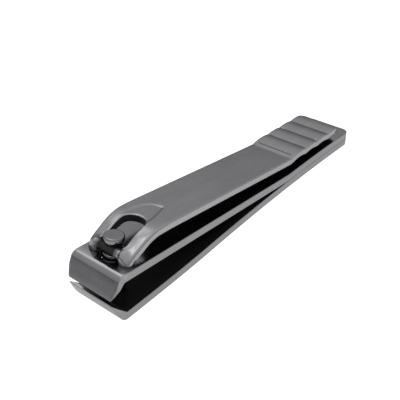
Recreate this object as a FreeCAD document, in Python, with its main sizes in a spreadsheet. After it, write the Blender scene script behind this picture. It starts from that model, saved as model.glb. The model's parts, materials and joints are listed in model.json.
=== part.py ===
"""Lever nail clipper: two spring strips joined at the tail, a notched post and a swing-over lever.

Frame, in millimetres: +Z up, origin on the table under the middle of the clipper, +X towards the
tail, +Y to the left of a person looking from the cutting edges to the tail. The lever is in its
stored position, knee up, lying along the jaws. Each body is drawn with X counted from the cutting
edges, or with its axes on the post, and its Placement then moves it into the frame.
"""
import FreeCAD, Part

import os

import Sketcher

DRIVING_DIMENSIONS = {
    # Jaw strips
    "jaw_length": 87.6,
    "jaw_width": 13.0,
    "strip_thick": 1.8,
    "tail_round": 2.0,
    "hinge_x": 58.6,            # front end of the weld, where the upper strip starts to bend
    "strip_rise": 6.53,         # degrees between the upper strip and the table
    "flex_slit": 0.04,
    # Shallow arch of the lower strip, behind its flat front
    "flat_end": 14.0,
    "lift_radius": 300.0,
    "lift_angle": 2.8,
    # Lips and cutting edges
    "edge_width": 11.4,
    "edge_height": 5.16,
    "edge_gap": 1.24,
    "edge_land": 0.1,
    "taper_end": 3.4,
    "lower_outer_x": 2.15,
    "lower_inner_x": 3.5,
    "upper_outer_x": 2.3,
    "upper_inner_x": 3.3,
    "outer_bend": 1.2,
    "inner_bend": 0.6,
    # Post, its heights counted along its axis from the top face of the upper strip
    "post_x": 7.17,
    "post_radius": 2.3,
    "post_shoulder": 0.7,
    "neck_radius": 1.65,
    "neck_low": 0.95,
    "neck_top": 3.15,
    "head_radius": 2.1,
    "head_top": 4.34,
    "head_chamfer": 0.3,
    "foot_radius": 2.9,
    "foot_thick": 0.6,
    "foot_bottom": -10.12,
    "foot_edge": 0.15,
    "bore_play": 0.06,
    "seat_play": 0.08,
    "upper_hole_play": 0.35,
    # Cross bar of the lever, and the notch of the post that it turns in
    "bar_back": -1.5,
    "bar_height": 1.9,
    "bar_radius": 0.82,
    "notch_play": 0.08,
    # Lever, in the frame of the post
    "lever_width": 11.6,
    "lever_thick": 1.6,
    "nose_slope": 0.612,
    "nose_level": 0.80,
    "body_slope": 0.04,
    "body_level": 3.93,
    "toe_front": -2.4,
    "toe_low": 0.3,
    "toe_high": 0.95,
    "sole_back": -1.25,
    "sole_gap": 0.05,
    "knee_round": 8.8,
    "lobe_round": 1.5,
    "slot_half": 2.75,
    "slot_centre": 4.7,
    "slot_play": 0.25,
    # Thumb grip at the tail of the lever: a short bend up, then a row of crowned steps
    "bend_start": 53.2,
    "grip_start": 54.6,
    "grip_level": 3.78,
    "grip_slope": 0.045,
    "grip_pitch": 5.2,
    "grip_crown": 0.35,
    "lever_tail_round": 1.8,
}
GRIP_STEPS = 4
CLEARANCE_BEYOND = 5            # how far a cutting outline reaches past the piece it cuts
SAME_PLACE = 1e-6

doc = FreeCAD.newDocument("nail_clipper")
sheet = doc.addObject("Spreadsheet::Sheet", "Size")
for row, (alias, value) in enumerate(DRIVING_DIMENSIONS.items(), start=1):
    sheet.set(f"A{row}", alias)
    sheet.set(f"B{row}", str(value))
    sheet.setAlias(f"B{row}", alias)
doc.recompute()


class Cells:
    """Reads like cells.jaw_width and gives the expression text for that cell of the sheet."""

    def __getattr__(self, alias):
        return f"Size.{alias}"


c = Cells()


# ---------------------------------------------------------------- sheet expressions used more than once

# The lower strip's underside: flat, then an upward arc about lift_centre, then the long arch.
LIFT_SIN = f"sin({c.lift_angle})"
LIFT_COS = f"cos({c.lift_angle})"
ARCH_RUN = f"({c.jaw_length} - {c.flat_end} - {c.lift_radius} * {LIFT_SIN})"
ARCH_DROP = f"({c.lift_radius} * (1 - {LIFT_COS}))"
ARCH_RADIUS = (f"(({ARCH_RUN}^2 + {ARCH_DROP}^2)"
               f" / (2 * ({ARCH_RUN} * {LIFT_SIN} + {ARCH_DROP} * {LIFT_COS})))")
ARCH_X = f"({c.flat_end} + ({c.lift_radius} + {ARCH_RADIUS}) * {LIFT_SIN})"
ARCH_Z = f"({c.lift_radius} - ({c.lift_radius} + {ARCH_RADIUS}) * {LIFT_COS})"


def arch_height(x, layers):
    """Height at x of the face that lies the given number of strip thicknesses above the underside."""
    return (f"({ARCH_Z} + sqrt(({ARCH_RADIUS} + {layers} * {c.strip_thick})^2"
            f" - ({x} - {ARCH_X})^2))")


def lift_end(layers):
    """The point where that same face changes from the upward arc to the arch."""
    radius = f"({c.lift_radius} - {layers} * {c.strip_thick})"
    return (f"{c.flat_end} + {radius} * {LIFT_SIN}", f"{c.lift_radius} - {radius} * {LIFT_COS}")


# The upper strip's two straight faces in front of the weld, and the frame of the post on it.
SPRING_FRONT = f"({c.hinge_x} - {c.flex_slit})"
STRIP_HEIGHT = f"({c.strip_thick} / cos({c.strip_rise}))"


def upper_underside(x):
    return f"({arch_height(c.hinge_x, 1)} + ({c.hinge_x} - {x}) * tan({c.strip_rise}))"


def upper_top(x):
    return f"({upper_underside(x)} + {STRIP_HEIGHT})"


# The lever's straight faces, as heights at a distance u behind the axis of the post.
NOSE_THICK = f"({c.lever_thick} * sqrt(1 + {c.nose_slope}^2))"
BODY_THICK = f"({c.lever_thick} * sqrt(1 + {c.body_slope}^2))"
KNEE_UNDER_U = f"(({c.body_level} - {c.nose_level}) / ({c.nose_slope} + {c.body_slope}))"
KNEE_TOP_U = (f"(({c.body_level} + {BODY_THICK} - {c.nose_level} - {NOSE_THICK})"
              f" / ({c.nose_slope} + {c.body_slope}))")
GRIP_CHORD = f"({c.grip_pitch} * sqrt(1 + {c.grip_slope}^2))"
GRIP_RADIUS = f"(({GRIP_CHORD}^2 / 4 + {c.grip_crown}^2) / (2 * {c.grip_crown}))"


def nose_under(u):
    return f"({c.nose_level} + {c.nose_slope} * {u})"


def body_under(u):
    return f"({c.body_level} - {c.body_slope} * {u})"


# ---------------------------------------------------------------- building helpers

def number(expression):
    return float(sheet.evalExpression(expression))


def new_body(label):
    body = doc.addObject("PartDesign::Body", label)
    body.Label = label
    return body


def new_sketch(body, name, plane_role):
    """Sketch on one of the body's own origin planes."""
    sketch = body.newObject("Sketcher::SketchObject", name)
    plane = next(item for item in body.Origin.OriginFeatures if item.Role == plane_role)
    sketch.AttachmentSupport = [(plane, "")]
    sketch.MapMode = "FlatFace"
    return sketch


def across_post(sketch, height):
    """Turn a sketch from the XY plane to lie square to the post's axis, at a height along the axis."""
    sketch.AttachmentOffset = FreeCAD.Placement(
        FreeCAD.Vector(), FreeCAD.Rotation(FreeCAD.Vector(0, 1, 0), number(c.strip_rise)))
    sketch.setExpression("AttachmentOffset.Rotation.Angle", c.strip_rise)
    sketch.setExpression("AttachmentOffset.Base.x", f"{c.post_x} + {height} * sin({c.strip_rise})")
    sketch.setExpression(
        "AttachmentOffset.Base.z", f"{upper_top(c.post_x)} + {height} * cos({c.strip_rise})")


def fix(sketch, kind, *places, expression):
    """Add a dimension to a sketch and bind it to the sheet."""
    index = sketch.addConstraint(Sketcher.Constraint(kind, *places, number(expression)))
    sketch.setExpression(f"Constraints[{index}]", expression)


def side(start, end, radius):
    """Straight side, or an arc that bulges to the right of its direction, to the left if negative."""
    if not radius:
        return Part.LineSegment(start, end)
    chord = end - start
    half = chord.Length / 2
    bulge = abs(radius) - max(radius * radius - half * half, 0) ** 0.5
    outward = FreeCAD.Vector(chord.y, -chord.x, 0).normalize()
    if radius < 0:
        outward = -outward
    return Part.Arc(start, (start + end) / 2 + outward * bulge, end)


def outline(sketch, corners):
    """Closed outline. A corner is (x, y) or (x, y, radius of the arc to the next corner), as expressions."""
    places = [FreeCAD.Vector(number(corner[0]), number(corner[1]), 0) for corner in corners]
    ends = []
    for index, corner in enumerate(corners):
        start = places[index]
        radius = number(corner[2]) if len(corner) > 2 else 0
        piece = sketch.addGeometry(side(start, places[(index + 1) % len(corners)], radius))
        if sketch.getPoint(piece, 1).distanceToPoint(start) < SAME_PLACE:
            ends.append((piece, 1, 2))
        else:
            ends.append((piece, 2, 1))
    for index, (piece, first, last) in enumerate(ends):
        next_piece, next_first, _ = ends[(index + 1) % len(ends)]
        sketch.addConstraint(Sketcher.Constraint("Coincident", piece, last, next_piece, next_first))
    for corner, (piece, first, _) in zip(corners, ends):
        fix(sketch, "DistanceX", -1, 1, piece, first, expression=corner[0])
        fix(sketch, "DistanceY", -1, 1, piece, first, expression=corner[1])
        if len(corner) > 2:
            fix(sketch, "Radius", piece, expression=f"abs({corner[2]})")


def circle(sketch, x, y, radius):
    ring = sketch.addGeometry(
        Part.Circle(FreeCAD.Vector(number(x), number(y), 0), FreeCAD.Vector(0, 0, 1), number(radius)))
    fix(sketch, "DistanceX", -1, 1, ring, 3, expression=x)
    fix(sketch, "DistanceY", -1, 1, ring, 3, expression=y)
    fix(sketch, "Radius", ring, expression=radius)


def pad(body, name, sketch, width):
    """Solid from a sketch, equally far to both sides of its plane."""
    feature = body.newObject("PartDesign::Pad", name)
    feature.Profile = sketch
    feature.Midplane = True
    feature.setExpression("Length", width)
    doc.recompute()
    return feature


def cut_through(body, name, sketch, both_sides=True):
    """Cut a sketch through the whole body, to both sides of its plane or only below it."""
    before = body.Shape.Volume
    feature = body.newObject("PartDesign::Pocket", name)
    feature.Profile = sketch
    feature.Midplane = both_sides
    feature.Type = "ThroughAll"
    doc.recompute()
    if body.Shape.Volume >= before:
        raise RuntimeError(f"{name} cut nothing")


def edges_where(shape, test, crosswise):
    """Names of the edges whose ends all pass a test, and that run along Y or else stay at one Y."""
    names = []
    for index, edge in enumerate(shape.Edges, start=1):
        points = [vertex.Point for vertex in edge.Vertexes]
        spread = max(point.y for point in points) - min(point.y for point in points)
        if (spread > SAME_PLACE) == crosswise and all(test(point) for point in points):
            names.append(f"Edge{index}")
    return names


def round_edges(body, name, radius, test, crosswise=True):
    base = body.Tip
    feature = body.newObject("PartDesign::Fillet", name)
    feature.Base = (base, edges_where(base.Shape, test, crosswise))
    feature.setExpression("Radius", radius)
    doc.recompute()


def round_corners(body, radius, x, half_width):
    """Round the two upright corners at the tail end of a piece."""
    round_edges(body, "tail_corners", radius, lambda point: (
        near(point.x, x) and near(abs(point.y), half_width)), crosswise=False)


def near(value, expression):
    return abs(value - number(expression)) < SAME_PLACE


def taper_lips(body):
    """Narrow both sides of a strip towards its cutting edge."""
    for mirror, name in ((1, "taper_left"), (-1, "taper_right")):
        sketch = new_sketch(body, name, "XY_Plane")
        outline(sketch, [
            (f"0 - {CLEARANCE_BEYOND}", f"{mirror} * {c.edge_width} / 2"),
            ("0", f"{mirror} * {c.edge_width} / 2"),
            (c.taper_end, f"{mirror} * {c.jaw_width} / 2"),
            (c.taper_end, f"{mirror} * ({c.jaw_width} / 2 + {CLEARANCE_BEYOND})"),
            (f"0 - {CLEARANCE_BEYOND}", f"{mirror} * ({c.jaw_width} / 2 + {CLEARANCE_BEYOND})"),
        ])
        cut_through(body, f"cut_{name}", sketch)


# ---------------------------------------------------------------- sub-parts

def make_lower_jaw():
    """Lower strip: flat front, shallow arch, lip turned up, and a bore with a seat for the post's foot."""
    body = new_body("lower_jaw")
    profile = new_sketch(body, "lower_profile", "XZ_Plane")
    outline(profile, [
        (c.lower_outer_x, "0"),
        (c.flat_end, "0", f"{c.lift_radius}"),
        (*lift_end(0), f"-1 * {ARCH_RADIUS}"),
        (c.jaw_length, arch_height(c.jaw_length, 0)),
        (c.jaw_length, arch_height(c.jaw_length, 1), f"{ARCH_RADIUS} + {c.strip_thick}"),
        (*lift_end(1), f"{c.strip_thick} - {c.lift_radius}"),
        (c.flat_end, c.strip_thick),
        (c.lower_inner_x, c.strip_thick),
        (c.edge_land, c.edge_height),
        ("0", c.edge_height),
    ])
    pad(body, "lower_strip", profile, c.jaw_width)
    round_edges(body, "lower_outer_bend", c.outer_bend, lambda point: (
        near(point.x, c.lower_outer_x) and near(point.z, "0")))
    round_edges(body, "lower_inner_bend", c.inner_bend, lambda point: (
        near(point.x, c.lower_inner_x) and near(point.z, c.strip_thick)))
    taper_lips(body)
    round_corners(body, c.tail_round, c.jaw_length, f"{c.jaw_width} / 2")

    bore = new_sketch(body, "post_bore", "XY_Plane")
    across_post(bore, c.foot_bottom)
    circle(bore, "0", "0", f"{c.post_radius} + {c.bore_play}")
    cut_through(body, "cut_post_bore", bore)

    seat = new_sketch(body, "foot_seat", "XY_Plane")
    across_post(seat, f"({c.foot_bottom} + {c.foot_thick} + {c.seat_play})")
    circle(seat, "0", "0", f"{c.foot_radius} + {c.seat_play}")
    cut_through(body, "cut_foot_seat", seat, both_sides=False)
    place_strip(body)
    return body


def make_upper_jaw():
    """Upper strip in front of the weld: a straight spring with its lip turned down."""
    body = new_body("upper_jaw")
    profile = new_sketch(body, "upper_profile", "XZ_Plane")
    edge_height = f"{c.edge_height} + {c.edge_gap}"
    outline(profile, [
        ("0", edge_height),
        (c.edge_land, edge_height),
        (c.upper_inner_x, upper_underside(c.upper_inner_x)),
        (SPRING_FRONT, upper_underside(SPRING_FRONT)),
        (SPRING_FRONT, upper_top(SPRING_FRONT)),
        (c.upper_outer_x, upper_top(c.upper_outer_x)),
    ])
    pad(body, "upper_strip", profile, c.jaw_width)
    round_edges(body, "upper_outer_bend", c.outer_bend, lambda point: (
        near(point.x, c.upper_outer_x) and near(point.z, upper_top(c.upper_outer_x))))
    round_edges(body, "upper_inner_bend", c.inner_bend, lambda point: (
        near(point.x, c.upper_inner_x) and near(point.z, upper_underside(c.upper_inner_x))))
    taper_lips(body)

    hole = new_sketch(body, "post_hole", "XY_Plane")
    across_post(hole, "0")
    circle(hole, "0", "0", f"{c.post_radius} + {c.upper_hole_play}")
    cut_through(body, "cut_post_hole", hole)
    place_strip(body)
    return body


def make_upper_jaw_root():
    """Upper strip behind the weld's front end, lying on the lower strip."""
    body = new_body("upper_jaw_root")
    profile = new_sketch(body, "root_profile", "XZ_Plane")
    outline(profile, [
        (c.hinge_x, arch_height(c.hinge_x, 1), f"-1 * ({ARCH_RADIUS} + {c.strip_thick})"),
        (c.jaw_length, arch_height(c.jaw_length, 1)),
        (c.jaw_length, arch_height(c.jaw_length, 2), f"{ARCH_RADIUS} + 2 * {c.strip_thick}"),
        (c.hinge_x, arch_height(c.hinge_x, 2)),
    ])
    pad(body, "root_strip", profile, c.jaw_width)
    round_corners(body, c.tail_round, c.jaw_length, f"{c.jaw_width} / 2")
    place_strip(body)
    return body


def place_strip(body):
    """Move a strip drawn from the cutting edges so that the origin lies under its middle."""
    body.setExpression("Placement.Base.x", f"0 - {c.jaw_length} / 2")


def place_on_post(body):
    """Move a body drawn about the post's axis to the post's place on the upper strip."""
    body.Placement = FreeCAD.Placement(
        FreeCAD.Vector(), FreeCAD.Rotation(FreeCAD.Vector(0, 1, 0), number(c.strip_rise)))
    body.setExpression("Placement.Rotation.Angle", c.strip_rise)
    body.setExpression("Placement.Base.x", f"{c.post_x} - {c.jaw_length} / 2")
    body.setExpression("Placement.Base.z", upper_top(c.post_x))


def make_post():
    """Turned post: a foot under the lower strip, a shank, and a neck notched in front under a head."""
    body = new_body("post")
    profile = new_sketch(body, "post_profile", "XZ_Plane")
    outline(profile, [
        ("0", c.foot_bottom),
        (f"{c.foot_radius} - {c.foot_edge}", c.foot_bottom),
        (c.foot_radius, f"{c.foot_bottom} + {c.foot_edge}"),
        (c.foot_radius, f"{c.foot_bottom} + {c.foot_thick}"),
        (c.post_radius, f"{c.foot_bottom} + {c.foot_thick}"),
        (c.post_radius, c.post_shoulder),
        (c.neck_radius, c.neck_low),
        (c.neck_radius, c.neck_top),
        (c.head_radius, c.neck_top),
        (c.head_radius, f"{c.head_top} - {c.head_chamfer}"),
        (f"{c.head_radius} - {c.head_chamfer}", c.head_top),
        ("0", c.head_top),
    ])
    turned = body.newObject("PartDesign::Revolution", "turned_post")
    turned.Profile = profile
    turned.ReferenceAxis = (profile, ["V_Axis"])
    turned.Angle = 360
    doc.recompute()

    notch = new_sketch(body, "notch", "XZ_Plane")
    radius = f"({c.bar_radius} + {c.notch_play})"
    outline(notch, [
        (f"0 - {CLEARANCE_BEYOND}", f"{c.bar_height} - {radius}"),
        (c.bar_back, f"{c.bar_height} - {radius}", radius),
        (f"{c.bar_back} + {radius}", c.bar_height, radius),
        (c.bar_back, f"{c.bar_height} + {radius}"),
        (f"0 - {CLEARANCE_BEYOND}", f"{c.bar_height} + {radius}"),
    ])
    cut_through(body, "cut_notch", notch)
    place_on_post(body)
    return body


def lever_profile():
    """Corners of the lever's side outline, along the underside to the tail and back along the top."""
    corners = [
        (c.toe_front, c.toe_low),
        (c.sole_back, c.sole_gap),
        (KNEE_UNDER_U, nose_under(KNEE_UNDER_U)),
        (c.bend_start, body_under(c.bend_start)),
    ]
    steps = [f"({c.grip_start} + {step} * {c.grip_pitch})" for step in range(GRIP_STEPS + 1)]
    for step in steps[:-1]:
        level = f"{c.grip_level} + {c.grip_slope} * ({step} - {c.grip_start})"
        corners.append((step, f"{level} - {c.lever_thick}", f"-1 * {GRIP_RADIUS}"))
    tail_level = f"{c.grip_level} + {c.grip_slope} * ({steps[-1]} - {c.grip_start})"
    corners.append((steps[-1], f"{tail_level} - {c.lever_thick}"))
    for step in reversed(steps[1:]):
        level = f"{c.grip_level} + {c.grip_slope} * ({step} - {c.grip_start})"
        corners.append((step, level, GRIP_RADIUS))
    corners += [
        (c.grip_start, c.grip_level),
        (c.bend_start, f"{body_under(c.bend_start)} + {BODY_THICK}"),
        (KNEE_TOP_U, f"{body_under(KNEE_TOP_U)} + {BODY_THICK}"),
        (c.sole_back, f"{nose_under(c.sole_back)} + {NOSE_THICK}"),
        (c.toe_front, c.toe_high),
    ]
    return corners


def lever_front_cut():
    """Corners of the cut that leaves two round toes in front and a slot with a round rear end."""
    half = f"{c.lever_width} / 2"
    beyond = f"({half} + {CLEARANCE_BEYOND})"
    lobe_back = f"({c.toe_front} + {c.lobe_round})"
    outer = f"({half} - {c.lobe_round})"
    inner = f"({c.slot_half} + {c.lobe_round})"
    far = f"({c.toe_front} - {CLEARANCE_BEYOND})"
    return [
        (far, f"0 - {beyond}"),
        (lobe_back, f"0 - {beyond}"),
        (lobe_back, f"0 - {half}", f"-1 * {c.lobe_round}"),
        (c.toe_front, f"0 - {outer}"),
        (c.toe_front, f"0 - {inner}", f"-1 * {c.lobe_round}"),
        (lobe_back, f"0 - {c.slot_half}"),
        (c.slot_centre, f"0 - {c.slot_half}", c.slot_half),
        (f"{c.slot_centre} + {c.slot_half}", "0", c.slot_half),
        (c.slot_centre, c.slot_half),
        (lobe_back, c.slot_half, f"-1 * {c.lobe_round}"),
        (c.toe_front, inner),
        (c.toe_front, outer, f"-1 * {c.lobe_round}"),
        (lobe_back, half),
        (lobe_back, beyond),
        (far, beyond),
    ]


def make_lever():
    """Lever: two toes on the upper strip, a knee, a slot for the post, a cross bar and a thumb grip."""
    body = new_body("lever")
    profile = new_sketch(body, "lever_side", "XZ_Plane")
    outline(profile, lever_profile())
    pad(body, "lever_plate", profile, c.lever_width)
    round_edges(body, "knee", c.knee_round, lambda point: near(point.x, KNEE_TOP_U))
    round_edges(body, "under_knee", f"{c.knee_round} - {c.lever_thick}", lambda point: (
        near(point.x, KNEE_UNDER_U)))
    tail_u = f"({c.grip_start} + {GRIP_STEPS} * {c.grip_pitch})"
    round_corners(body, c.lever_tail_round, tail_u, f"{c.lever_width} / 2")

    front = new_sketch(body, "toes_and_slot", "XY_Plane")
    outline(front, lever_front_cut())
    cut_through(body, "cut_toes_and_slot", front)

    bar = new_sketch(body, "cross_bar_section", "XZ_Plane")
    circle(bar, c.bar_back, c.bar_height, c.bar_radius)
    pad(body, "cross_bar", bar, f"2 * ({c.slot_half} + {c.slot_play})")
    place_on_post(body)
    return body


def main():
    pieces = [make_lower_jaw(), make_upper_jaw(), make_upper_jaw_root(), make_post(), make_lever()]
    doc.recompute()
    for item in doc.Objects:
        if "Invalid" in item.State or "Error" in item.State:
            raise RuntimeError(f"{item.Label} did not build: {item.State}")
    for piece in pieces:
        if piece.Shape.isNull() or not piece.Shape.isValid() or len(piece.Shape.Solids) != 1:
            raise RuntimeError(f"{piece.Label} is not one valid solid")
    os.makedirs("parts", exist_ok=True)
    for piece in pieces:
        piece.Shape.exportStep(f"parts/{piece.Label}.step")
        print(piece.Label, round(piece.Shape.Volume, 2), piece.Shape.BoundBox)


main()
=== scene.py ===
"""Looks of the lever nail clipper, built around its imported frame.

Sizes in this file are millimetres and degrees; meshes are made in metres. The strips and the lever are
stamped sheet, so each is laid out flat, as distance along its middle surface and distance across it,
and then bent along its side line. The post is turned and notched.
"""

import json
import math

import bmesh
import bpy
from mathutils import Matrix, Vector, geometry


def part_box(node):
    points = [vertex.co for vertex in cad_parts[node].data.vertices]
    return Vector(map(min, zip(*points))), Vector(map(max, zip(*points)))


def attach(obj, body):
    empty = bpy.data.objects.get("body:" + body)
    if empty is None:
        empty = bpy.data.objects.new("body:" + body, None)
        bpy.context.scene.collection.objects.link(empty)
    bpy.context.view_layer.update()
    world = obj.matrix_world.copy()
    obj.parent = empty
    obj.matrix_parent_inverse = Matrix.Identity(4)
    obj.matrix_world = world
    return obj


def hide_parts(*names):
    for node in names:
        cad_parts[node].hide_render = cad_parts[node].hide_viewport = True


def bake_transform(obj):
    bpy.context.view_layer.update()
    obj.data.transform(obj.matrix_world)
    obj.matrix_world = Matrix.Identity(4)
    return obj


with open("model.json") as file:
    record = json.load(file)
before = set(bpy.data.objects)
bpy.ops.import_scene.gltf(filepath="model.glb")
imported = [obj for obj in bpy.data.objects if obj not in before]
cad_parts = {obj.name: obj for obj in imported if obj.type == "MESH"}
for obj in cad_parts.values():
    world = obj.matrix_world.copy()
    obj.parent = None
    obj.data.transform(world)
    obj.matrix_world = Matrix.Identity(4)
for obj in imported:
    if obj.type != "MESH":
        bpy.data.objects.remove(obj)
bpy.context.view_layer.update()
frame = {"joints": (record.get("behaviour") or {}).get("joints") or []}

MM = 0.001
TURN = math.tau


# ---------------------------------------------------------------- places taken from the frame

def in_mm(vector):
    """A place given in metres, in millimetres."""
    return Vector(vector) / MM


def joint(name):
    """Place of a joint in millimetres, and its axis."""
    found = next(item for item in frame["joints"] if item["name"] == name)
    return in_mm(found["pos_m"]), Vector(found["axis"])


HINGE, _ = joint("jaw_close")
POST_PLACE, POST_AXIS = joint("post_swivel")
BAR_PLACE, _ = joint("lever_flip")
BACK = Vector((POST_AXIS.z, 0, -POST_AXIS.x))     # along the upper strip, towards the tail
FRONT_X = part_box("lower_jaw")[0].x / MM
TAIL_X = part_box("lower_jaw")[1].x / MM
JAW_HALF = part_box("lower_jaw")[1].y / MM
LEVER_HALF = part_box("lever")[1].y / MM


def post_frame(point):
    """Distance behind the post's axis, and height along it from the top of the upper strip."""
    away = point - POST_PLACE
    return away.dot(BACK), away.dot(POST_AXIS)


BAR_U, BAR_W = post_frame(BAR_PLACE)

# ---------------------------------------------------------------- sizes of the sheet-metal pieces

STRIP = 1.8                  # thickness of both strips
LEVER = 1.6                  # thickness of the lever


def arc(centre_x, centre_y, radius, start, end, steps):
    """Points along an arc, angles in degrees, both ends included."""
    turns = [math.radians(start + (end - start) * k / steps) for k in range(steps + 1)]
    return [(centre_x + radius * math.cos(a), centre_y + radius * math.sin(a)) for a in turns]


def smooth(low, high, value):
    """0 below low, 1 above high, and an even slope-free change between them."""
    t = min(max((value - low) / (high - low), 0), 1)
    return t * t * (3 - 2 * t)


class SideLine:
    """Middle line of a sheet seen from the side, with the stations where its layout is sampled."""

    def __init__(self, points):
        self.points = [Vector(p) for p in points]
        self.at = [0]
        for a, b in zip(self.points, self.points[1:]):
            self.at.append(self.at[-1] + (b - a).length)
        self.length = self.at[-1]

    def find(self, s):
        """Segment that holds the distance s, and the share of it that is passed."""
        low = 0
        high = len(self.at) - 2
        while low < high:
            middle = (low + high + 1) // 2
            if self.at[middle] <= s:
                low = middle
            else:
                high = middle - 1
        return low, (s - self.at[low]) / (self.at[low + 1] - self.at[low])

    def tangent(self, index):
        before = self.points[max(index - 1, 0)]
        after = self.points[min(index + 1, len(self.points) - 1)]
        return (after - before).normalized()

    def place(self, s):
        """Point on the line and its normal, which points up from the sheet."""
        index, share = self.find(s)
        point = self.points[index].lerp(self.points[index + 1], share)
        if 0 <= s <= self.length:
            along = self.tangent(index).lerp(self.tangent(index + 1), share).normalized()
        else:
            along = (self.points[index + 1] - self.points[index]).normalized()
        return point, Vector((-along.y, along.x))

    def at_first(self, first):
        """Distance along the line at which its first coordinate has this value."""
        for index in range(len(self.points) - 1):
            a = self.points[index].x
            b = self.points[index + 1].x
            if a <= first <= b:
                return self.at[index] + (first - a) / (b - a) * (self.at[index + 1] - self.at[index])
        a, b = self.points[0], self.points[1]
        return (first - a.x) / (b.x - a.x) * self.at[1]


def bent_line(corners, step=2.0, angle=4.0):
    """Points of a line whose corners (x, z, radius) are rounded, no further apart than step."""
    places = [Vector(c[:2]) for c in corners]
    points = [places[0]]
    for before, here, after, corner in zip(places, places[1:], places[2:], corners[1:]):
        into = (here - before).normalized()
        out = (after - here).normalized()
        turn = into.angle_signed(out)
        if corner[2] <= 0 or abs(turn) < 1e-6:
            points.append(here)
            continue
        reach = corner[2] * math.tan(abs(turn) / 2)
        start = here - into * reach
        side = Vector((into.y, -into.x)) * math.copysign(1, turn)
        centre = start + side * corner[2]
        count = max(2, math.ceil(math.degrees(abs(turn)) / angle))
        for k in range(count + 1):
            arm = (start - centre)
            arm.rotate(Matrix.Rotation(-turn * k / count, 2))
            points.append(centre + arm)
    points.append(places[-1])
    filled = [points[0]]
    for a, b in zip(points, points[1:]):
        count = max(1, math.ceil((b - a).length / step))
        filled += [a.lerp(b, k / count) for k in range(1, count + 1)]
    return filled


# ---------------------------------------------------------------- sheet mesh

RIM_STEPS = 5                # rings of points round a rolled rim
RIM_WEAR_AND_SHEEN = 0.4               # how much the outermost ring is brightened, as wear and as a painted highlight
SAME = 0.01                  # lengths closer than this count as equal
FAR = 1e9
CLEAR_OF_RIM = 0.35          # share of their spacing that inner points keep from a rim
CDT_MERGE = 1e-7
ALL_TRIANGLES = 0            # mode of the triangulation, which leaves the holes to be dropped later


def inside(point, ring):
    """Whether a ring of points goes round this point."""
    hit = False
    for a, b in zip(ring, ring[1:] + ring[:1]):
        if (a[1] > point[1]) != (b[1] > point[1]):
            if point[0] < a[0] + (point[1] - a[1]) / (b[1] - a[1]) * (b[0] - a[0]):
                hit = not hit
    return hit


def distance(point, ring):
    """Distance from a point to the nearest side of a ring."""
    best = FAR
    p = Vector(point)
    for a, b in zip(ring, ring[1:] + ring[:1]):
        near, share = geometry.intersect_point_line(p, Vector(a), Vector(b))
        near = Vector(a).lerp(Vector(b), min(max(share, 0), 1))
        best = min(best, (p - near).length)
    return best


def rim_rings(ring, radii):
    """Rings that step inwards from an outline, by more where its rim is rounder, and their angles."""
    count = len(ring)
    inwards = []
    for k in range(count):
        before = Vector(ring[k]) - Vector(ring[k - 1])
        after = Vector(ring[(k + 1) % count]) - Vector(ring[k])
        along = (before.normalized() + after.normalized()).normalized()
        bend = max(along.dot(after.normalized()), 0.5)
        inwards.append(Vector((-along.y, along.x)) / bend)
    rings = []
    for step in range(RIM_STEPS + 1):
        turn = math.radians(90 * step / RIM_STEPS)
        share = 1 - math.cos(turn)
        rings.append([tuple(Vector(p) + n * r * share) for p, n, r in zip(ring, inwards, radii)])
    return rings


def level_zero(s, y):
    """Lift, or painted highlight, of a face that has none."""
    return 0


def no_painted_shade(s, y, step):
    """Painted shade of a face that has none."""
    return 0


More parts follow.
